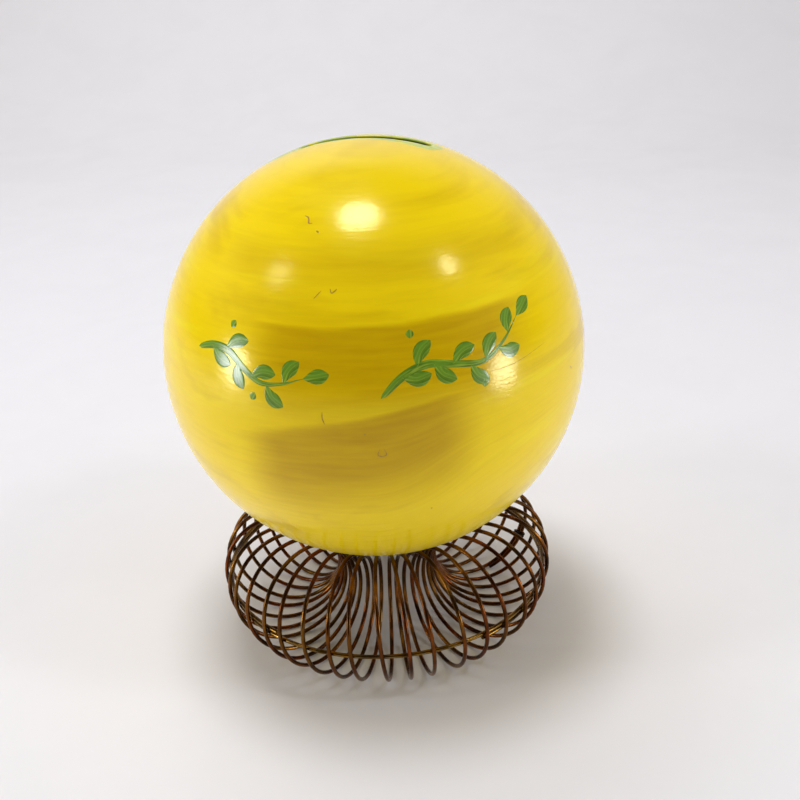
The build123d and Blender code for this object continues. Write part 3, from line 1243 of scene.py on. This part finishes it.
class COINBANK_OT_stage(bpy.types.Operator):
    """Add the floor, the lights, the pale surroundings and the camera"""

    bl_idname = "coin_bank.stage"
    bl_label = "Stage"

    def execute(self, context):
        scene = context.scene
        colours = scene.coin_bank_colours
        card = bpy.data.objects.new("card", curved_card_mesh())
        card.data.materials.append(matt_white_card(colours))
        scene.collection.objects.link(card)
        self.add_lights(scene)
        self.add_surroundings(scene)
        self.add_camera(scene)
        scene.view_settings.view_transform = "Standard"
        return {"FINISHED"}

    def add_lights(self, scene):
        """Round soft lamps inside a white tent, each by where it stands as seen from the ball."""
        tint = linear("#F6F8FF")[:3]
        for name, round_front, upward, distance, diameter, power in (
            ("top_lamp", -112, 86, 0.95, 0.28, 4.0),
            ("left_lamp", -65, 46, 0.9, 0.18, 0.48),
            ("right_lamp", 73, 49, 0.9, 0.12, 0.8),
            ("low_left_lamp", -66.5, 3, 0.7, 0.2, 1.9),
            ("low_right_lamp", 72.5, -2.5, 0.6, 0.15, 1.08),
        ):
            place = BALL_MIDDLE + facing(round_front, upward) * distance
            self.add_lamp(scene, name, place, BALL_MIDDLE - place, diameter, power, tint)
        # One more lights the card behind the bank, and nothing mirrors it
        place, aim = Vector((-0.28, 0.45, 1.1)), Vector((0, 0.6, -1))
        lamp = self.add_lamp(scene, "card_lamp", place, aim, 0.6, 4.1, (1, 1, 1))
        lamp.visible_glossy = False

    def add_lamp(self, scene, name, place, aim, diameter, power, tint):
        """A round lamp that the camera doesn't see."""
        light = bpy.data.lights.new(name, "AREA")
        light.shape = "DISK"
        light.size = diameter
        light.energy = power
        light.color = tint
        lamp = bpy.data.objects.new(name, light)
        lamp.location = place
        lamp.rotation_mode = "QUATERNION"
        lamp.rotation_quaternion = aim.to_track_quat("-Z", "Y")
        lamp.visible_camera = False
        scene.collection.objects.link(lamp)
        return lamp

    def add_surroundings(self, scene):
        """A white tent, open and dark on the side that the camera looks in from."""
        world = bpy.data.worlds.new("tent")
        world.use_nodes = True
        tree = world.node_tree
        tree.nodes.clear()
        way = tree.nodes.new("ShaderNodeTexCoord").outputs["Generated"]
        parts = tree.nodes.new("ShaderNodeSeparateXYZ")
        tree.links.new(way, parts.inputs[0])
        # From the white walls to the dark front, the brown of the room low down, and the dim roof
        tent = linear("#F4F1EC")
        for axis, start, end, before, after in (
            ("Y", -0.75, 0.05, "#4E4C4A", None),
            ("Z", 0.02, 0.4, "#6E5038", None),
            ("Z", 0.4, 0.9, None, "#87857F"),
        ):
            share = add_node(
                tree,
                "ShaderNodeMapRange",
                {"Value": parts.outputs[axis], "From Min": start, "From Max": end},
                interpolation_type="SMOOTHSTEP",
            )
            tent = add_node(
                tree,
                "ShaderNodeMix",
                {
                    "Factor_Float": share,
                    "A_Color": linear(before) if before else tent,
                    "B_Color": linear(after) if after else tent,
                },
                data_type="RGBA",
            )
        ray = tree.nodes.new("ShaderNodeLightPath").outputs
        tent = add_node(
            tree,
            "ShaderNodeMix",
            {"Factor_Float": ray["Is Camera Ray"], "A_Color": tent, "B_Color": linear("#E2E2E8")},
            data_type="RGBA",
        )
        # Between the lamps the tent's cloth is dim, so what shines mirrors little but the lamps
        lit, mirrored = 1.2, 0.35
        strength = add_node(
            tree,
            "ShaderNodeMapRange",
            {"Value": ray["Is Glossy Ray"], "To Min": lit, "To Max": mirrored},
        )
        shader = add_node(tree, "ShaderNodeBackground", {"Color": tent, "Strength": strength})
        add_node(tree, "ShaderNodeOutputWorld", {"Surface": shader})
        scene.world = world

    def add_camera(self, scene):
        """A camera a little to the right of the front, looking down on the ball."""
        azimuth, elevation, roll, distance = radians(8.2), radians(23), radians(-3.4), 0.3272
        lens_data = bpy.data.cameras.new("camera")
        lens_data.lens = 50.85
        lens_data.sensor_width = 36
        lens_data.clip_start = 0.01
        camera = bpy.data.objects.new("camera", lens_data)
        view = Vector(
            (-sin(azimuth) * cos(elevation), cos(azimuth) * cos(elevation), -sin(elevation))
        )
        camera.location = BALL_MIDDLE - view * distance
        # It is held with a slight roll, and the ball stands left of and above the view's middle
        level = view.to_track_quat("-Z", "Y")
        rolled = level @ Quaternion((0, 0, 1), roll)
        ball_in_view = Vector((-0.0225, 0.0471, -1)).normalized()
        aside = ball_in_view.rotation_difference(Vector((0, 0, -1)))
        camera.rotation_mode = "QUATERNION"
        camera.rotation_quaternion = rolled @ aside
        scene.collection.objects.link(camera)
        scene.camera = camera


class COINBANK_OT_shells(bpy.types.Operator):
    """Make the ball's two half shells, with their brushed enamel"""

    bl_idname = "coin_bank.shells"
    bl_label = "Half shells"

    def execute(self, context):
        ball, colours = context.scene.coin_bank_ball, context.scene.coin_bank_colours
        materials = [brushed_yellow_enamel_and_front_shade(colours), raw_turned_shell_and_slot_shade(colours)]
        add_piece(upper_shell_mesh(ball), materials, "ball", "painted_shell", "upper_shell")
        add_piece(lower_shell_mesh(ball), materials, "ball", "painted_shell", "lower_shell")
        return {"FINISHED"}


class COINBANK_OT_green_strokes(bpy.types.Operator):
    """Paint the green band round the slot and a leaf sprig on each side of the front"""

    bl_idname = "coin_bank.green_strokes"
    bl_label = "Green strokes"

    def execute(self, context):
        ball, colours = context.scene.coin_bank_ball, context.scene.coin_bank_colours
        loaded = brushed_green_enamel(
            "brushed_green_enamel", colours.green, colours.dark_green, colours.pale_green
        )
        thinned = brushed_green_enamel(
            "thinned_green_enamel", colours.thin_green, colours.pale_green, colours.lemon
        )
        left = sprig_mesh("left_sprig", ball, (-26, 16.5), radians(-9), 33 * MM, 6, 2.0)
        right = sprig_mesh("right_sprig", ball, (28, 17), radians(14), 41 * MM, 8, 9.0)
        add_piece(slot_band_mesh(ball), [thinned], "ball", "painted_shell")
        for mesh in (left, right):
            add_piece(mesh, [loaded], "ball", "painted_shell")
        return {"FINISHED"}


class COINBANK_OT_wear(bpy.types.Operator):
    """Add the scratches, pits and the hair crack in the enamel"""

    bl_idname = "coin_bank.wear"
    bl_label = "Wear"

    def execute(self, context):
        scene = context.scene
        ball = scene.coin_bank_ball
        ground = scratched_ground(scene.coin_bank_colours)
        add_piece(wear_mesh(ball), [ground], "ball", "painted_shell")
        return {"FINISHED"}


class COINBANK_OT_plug(bpy.types.Operator):
    """Give the plug its moulded rubber"""

    bl_idname = "coin_bank.plug"
    bl_label = "Plug"

    def execute(self, context):
        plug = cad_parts["bottom_plug"]
        plug.data.materials.clear()
        plug.data.materials.append(moulded_black_rubber(context.scene.coin_bank_colours))
        return {"FINISHED"}


class COINBANK_OT_wires(bpy.types.Operator):
    """Wind the coil, the hoop inside it and the tie that holds the coil's ends"""

    bl_idname = "coin_bank.wires"
    bl_label = "Wires"

    def execute(self, context):
        stand, colours = context.scene.coin_bank_stand, context.scene.coin_bank_colours
        for name, path, diameter, material, slot, node in (
            (
                "wound_coil",
                coil_path(stand),
                stand.wire_diameter,
                tarnished_copper_wire(colours),
                "coil_wire",
                "stand_coil",
            ),
            (
                "loose_hoop",
                hoop_path(stand),
                stand.hoop_diameter,
                tarnished_brass_wire(colours),
                "hoop_wire",
                "core_hoop",
            ),
            (
                "wrapped_tie",
                tie_path(stand),
                stand.tie_diameter,
                blackened_binding_wire(),
                "tie_wire",
                "coil_tie",
            ),
        ):
            add_piece(tube_mesh(name, path, diameter / 2), [material], "stand", slot, node)
        return {"FINISHED"}


class COINBANK_PT_panel(bpy.types.Panel):
    """The coin bank's sizes, colours and pieces"""

    bl_label = "Coin Bank"
    bl_idname = "COINBANK_PT_panel"
    bl_space_type = "VIEW_3D"
    bl_region_type = "UI"
    bl_category = "Coin Bank"

    def draw(self, context):
        for operator in OPERATORS:
            self.layout.operator(operator.bl_idname)
        for group in GROUPS:
            box = self.layout.box()
            values = getattr(context.scene, group)
            for name in values.bl_rna.properties.keys():
                if name not in ("rna_type", "name"):
                    box.prop(values, name)


GROUPS = {
    "coin_bank_ball": CoinBankBall,
    "coin_bank_stand": CoinBankStand,
    "coin_bank_colours": CoinBankColours,
}
OPERATORS = (
    COINBANK_OT_stage,
    COINBANK_OT_shells,
    COINBANK_OT_green_strokes,
    COINBANK_OT_wear,
    COINBANK_OT_plug,
    COINBANK_OT_wires,
)


def register():
    """Makes the panel, the operators and the scene's values known to Blender."""
    for kind in (*GROUPS.values(), *OPERATORS, COINBANK_PT_panel):
        bpy.utils.register_class(kind)
    for name, kind in GROUPS.items():
        setattr(bpy.types.Scene, name, bpy.props.PointerProperty(type=kind))


def unregister():
    """Takes away what register added."""
    for name in GROUPS:
        delattr(bpy.types.Scene, name)
    for kind in reversed((*GROUPS.values(), *OPERATORS, COINBANK_PT_panel)):
        bpy.utils.unregister_class(kind)


def main():
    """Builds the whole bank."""
    register()
    bpy.ops.coin_bank.stage()
    bpy.ops.coin_bank.shells()
    bpy.ops.coin_bank.green_strokes()
    bpy.ops.coin_bank.wear()
    bpy.ops.coin_bank.plug()
    bpy.ops.coin_bank.wires()
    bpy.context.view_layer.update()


if __name__ == "__main__":
    main()
